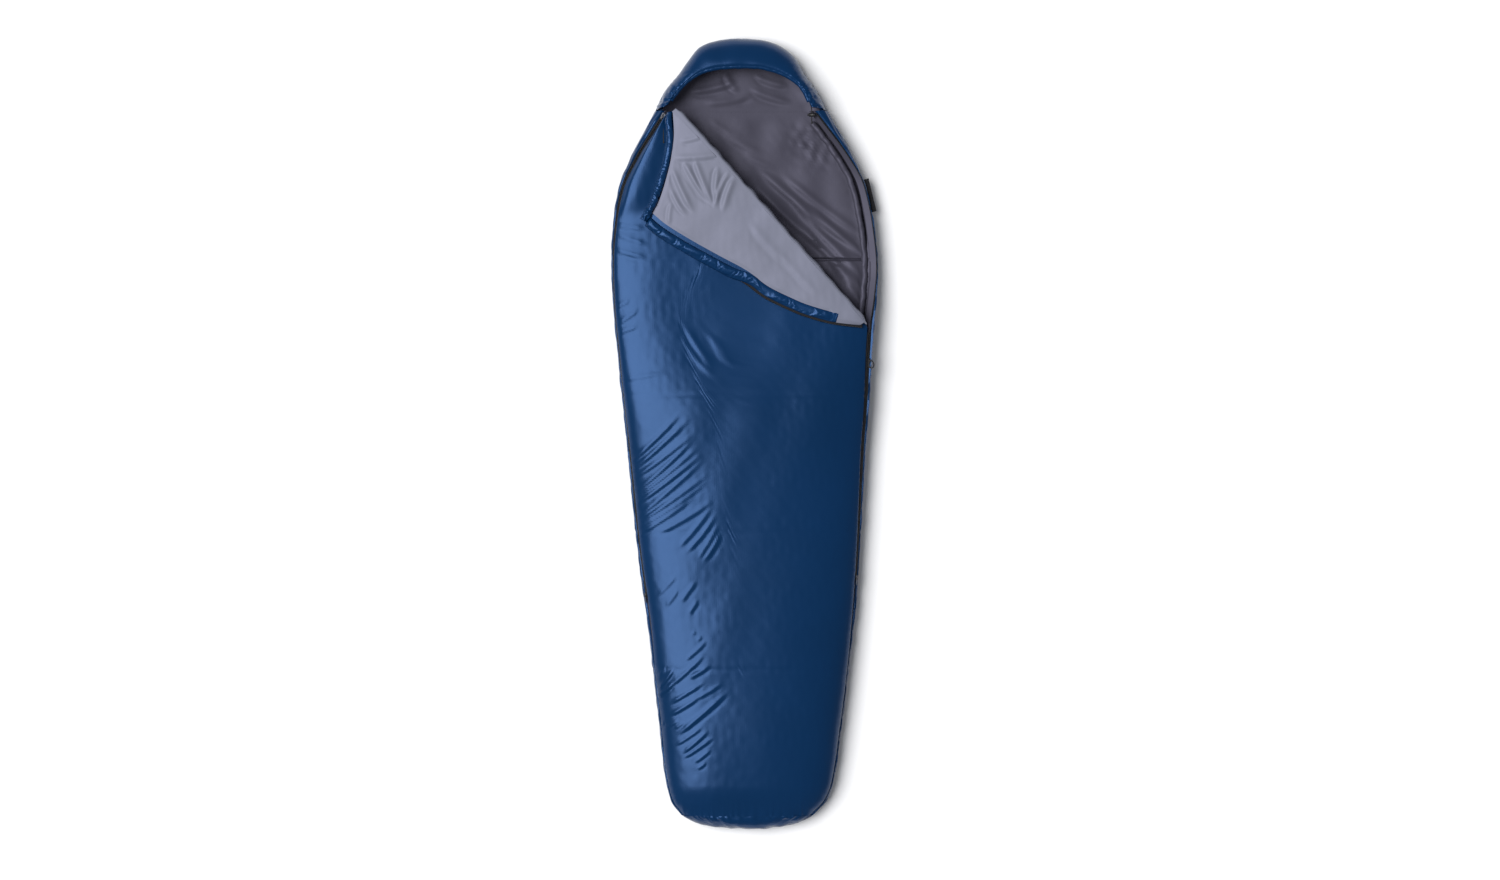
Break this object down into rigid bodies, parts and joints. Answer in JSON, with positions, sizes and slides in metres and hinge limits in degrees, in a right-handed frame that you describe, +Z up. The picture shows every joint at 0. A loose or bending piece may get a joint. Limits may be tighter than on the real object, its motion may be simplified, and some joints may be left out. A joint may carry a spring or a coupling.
{
  "type": "mummy sleeping bag",
  "caption": "Insulated hooded sleeping bag tapering to the feet, with a zip down each side of its front and the unzipped corner folded back over it.",
  "frame": {"origin": "centre of the bounding box in plan, on the floor the bag lies on", "axes": "+Y from the foot towards the hood, +Z up out of the floor, +X to the right when looking down with the hood at the top"},
  "size_m": [0.7097, 2.1, 0.115],
  "materials": {
    "blue_nylon": "calendered nylon shell cloth, a soft sheen",
    "grey_lining": "matt brushed polyester lining",
    "white_wadding": "lofted synthetic fibre wadding",
    "zip_coil": "moulded nylon coil",
    "zip_tape": "woven polyester tape",
    "dark_metal": "dark painted die-cast zinc",
    "black_plastic": "moulded acetal, matt",
    "black_cord": "braided round cord",
    "spring_steel": "drawn spring wire",
    "black_webbing": "flat woven tape"
  },
  "bodies": {
    "bag": {"back_insulation": "white_wadding", "back_lining": "grey_lining", "back_shell": "blue_nylon", "cord_lock_body": "black_plastic", "cord_lock_spring": "spring_steel", "footbox_insulation": "white_wadding", "footbox_lining": "grey_lining", "footbox_shell": "blue_nylon", "front_insulation": "white_wadding", "front_lining": "grey_lining", "front_shell": "blue_nylon", "hang_tab": "black_webbing", "hood_back_insulation": "white_wadding", "hood_back_lining": "grey_lining", "hood_back_shell": "blue_nylon", "hood_drawcord": "black_cord", "hood_drawcord_tunnel": "blue_nylon", "left_draft_tube": "grey_lining", "left_zip_back_coil": "zip_coil", "left_zip_back_tape": "zip_tape", "left_zip_front_coil": "zip_coil", "left_zip_front_tape": "zip_tape", "right_draft_tube": "grey_lining", "right_zip_back_coil": "zip_coil", "right_zip_back_tape": "zip_tape", "right_zip_front_coil": "zip_coil", "right_zip_front_tape": "zip_tape", "visor_insulation": "white_wadding", "visor_lining": "grey_lining", "visor_shell": "blue_nylon"},
    "flap": {"flap_facing": "blue_nylon", "flap_insulation": "white_wadding", "flap_lining": "grey_lining", "flap_neck_hem": "blue_nylon", "flap_shell": "blue_nylon", "flap_zip_coil": "zip_coil", "flap_zip_tape": "zip_tape"},
    "left_top_slider": {"left_top_slider_body": "dark_metal", "left_top_slider_bridge": "dark_metal"},
    "left_top_pull": {"left_top_slider_pull": "dark_metal", "left_top_pull_cord": "black_cord"},
    "left_bottom_slider": {"left_bottom_slider_body": "dark_metal", "left_bottom_slider_bridge": "dark_metal"},
    "left_bottom_pull": {"left_bottom_slider_pull": "dark_metal"},
    "right_top_slider": {"right_top_slider_body": "dark_metal", "right_top_slider_bridge": "dark_metal"},
    "right_top_pull": {"right_top_slider_pull": "dark_metal", "right_top_pull_loop": "black_cord"},
    "right_bottom_slider": {"right_bottom_slider_body": "dark_metal", "right_bottom_slider_bridge": "dark_metal"},
    "right_bottom_pull": {"right_bottom_slider_pull": "dark_metal"},
    "cord_lock_button": {"cord_lock_button": "black_plastic"}
  },
  "joints": [
    {"name": "flap_fold", "type": "hinge", "parent": "bag", "child": "flap", "pos_m": [0.073, 0.5695, 0.0915], "axis": [-0.6624, 0.7491, 0], "range_deg": [0, 175]},
    {"name": "left_top_slider_run", "type": "slide", "parent": "bag", "child": "left_top_slider", "axis": [0.548, 0.8355, 0.0411], "range_m": [-0.05, 0]},
    {"name": "left_top_pull_swing", "type": "hinge", "parent": "left_top_slider", "child": "left_top_pull", "pos_m": [-0.21732, 0.84253, 0.07971], "axis": [-0.7886, 0.5324, -0.3078], "range_deg": [0, 85]},
    {"name": "left_bottom_slider_run", "type": "slide", "parent": "bag", "child": "left_bottom_slider", "axis": [-0.1398, 0.9902, -0.0014], "range_m": [0, 0.08]},
    {"name": "left_bottom_pull_swing", "type": "hinge", "parent": "left_bottom_slider", "child": "left_bottom_pull", "pos_m": [-0.26496, -0.42948, 0.05924], "axis": [-0.4653, -0.0669, -0.8826], "range_deg": [0, 165]},
    {"name": "right_top_slider_run", "type": "slide", "parent": "bag", "child": "right_top_slider", "axis": [0.0395, 0.9992, 0.0038], "range_m": [-0.04, 0.03]},
    {"name": "right_top_pull_swing", "type": "hinge", "parent": "right_top_slider", "child": "right_top_pull", "pos_m": [0.32664, 0.19491, 0.07616], "axis": [-0.8611, 0.0321, 0.5074], "range_deg": [0, 165]},
    {"name": "right_bottom_slider_run", "type": "slide", "parent": "bag", "child": "right_bottom_slider", "axis": [0.0708, 0.9974, 0.0144], "range_m": [0, 0.04]},
    {"name": "right_bottom_pull_swing", "type": "hinge", "parent": "right_bottom_slider", "child": "right_bottom_pull", "pos_m": [0.29771, -0.38227, 0.05843], "axis": [-0.458, 0.0197, 0.8887], "range_deg": [0, 165]},
    {"name": "cord_lock_press", "type": "slide", "parent": "bag", "child": "cord_lock_button", "axis": [1, 0, 0], "range_m": [0, 0.003], "stiffness_N_per_m": 600, "springref_m": -0.002, "deforming": ["cord_lock_spring"]}
  ]
}
